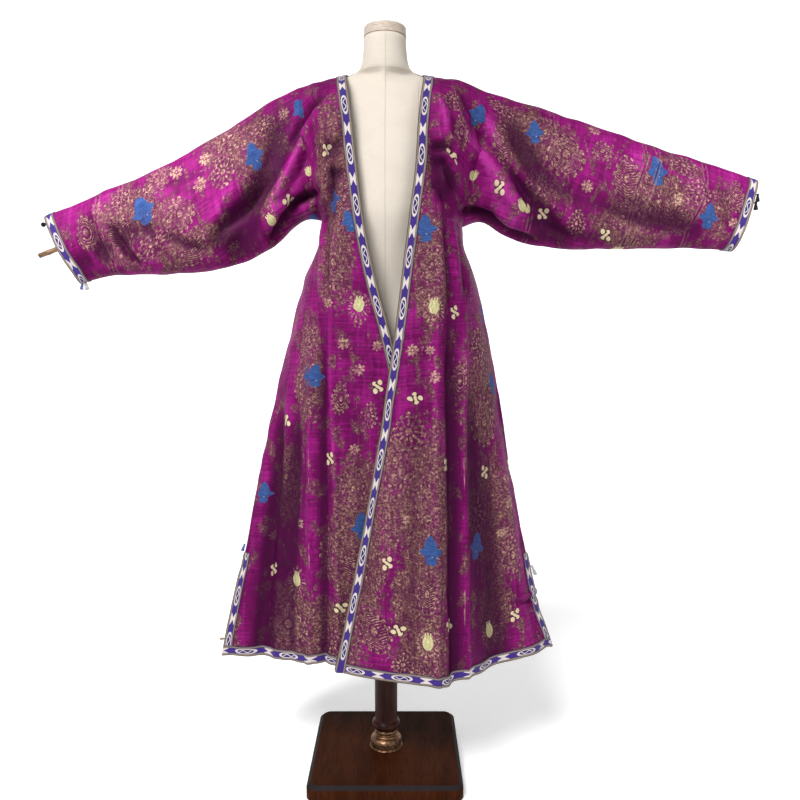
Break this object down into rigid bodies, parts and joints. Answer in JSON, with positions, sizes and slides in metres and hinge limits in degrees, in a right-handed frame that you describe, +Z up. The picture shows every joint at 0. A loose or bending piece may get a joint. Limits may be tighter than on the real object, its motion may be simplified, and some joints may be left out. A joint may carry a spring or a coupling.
{
  "type": "silk robe on dress form stand",
  "caption": "Long open robe of patterned silk with wide sleeves and woven tape edging, laid over a limbless dress form on a turned post with a square base.",
  "frame": {"origin": "on the post's axis, on the underside of the base", "axes": "+Z up, +X towards the wearer's left sleeve, -Y towards the robe's open front"},
  "size_m": [1.5125, 0.3735, 1.579],
  "materials": {
    "silk": "purple silk with metal thread, half gloss",
    "woven_tape": "patterned woven tape, matte",
    "thread": "twisted thread, matte",
    "linen": "stretched linen, matte",
    "cap_wood": "pale, matte",
    "cane": "cane, satin",
    "dark_wood": "dark varnish, gloss",
    "brass": "aged, satin"
  },
  "bodies": {
    "root": {"front_panel_left": "silk", "front_gore_left": "silk", "tape_front_left": "woven_tape", "tape_hem_front_left": "woven_tape", "tape_slit_front_left": "woven_tape", "front_panel_right": "silk", "front_gore_right": "silk", "tape_front_right": "woven_tape", "tape_hem_front_right": "woven_tape", "tape_slit_front_right": "woven_tape", "back_panel": "silk", "back_gore_right": "silk", "back_gore_left": "silk", "tape_hem_back": "woven_tape", "tape_slit_back_right": "woven_tape", "tape_slit_back_left": "woven_tape", "tape_neck_back": "woven_tape", "sleeve_upper_left": "silk", "sleeve_middle_left": "silk", "sleeve_lower_left": "silk", "sleeve_cuff_left": "silk", "tape_cuff_left": "woven_tape", "sleeve_upper_right": "silk", "sleeve_middle_right": "silk", "sleeve_lower_right": "silk", "sleeve_cuff_right": "silk", "tape_cuff_right": "woven_tape", "tassel_cuff_left_upper": "thread", "tassel_cuff_left_lower": "thread", "tassel_slit_right": "thread", "tassel_slit_left": "thread", "tassels_cuff_right": "thread", "knot_cuff_right": "thread", "ring_hem_right": "thread", "form_torso": "linen", "form_neck_cap": "cap_wood", "sleeve_rod_right": "cane", "sleeve_rod_left": "cane", "post": "dark_wood", "brass_collar": "brass", "base": "dark_wood"}
  },
  "joints": []
}
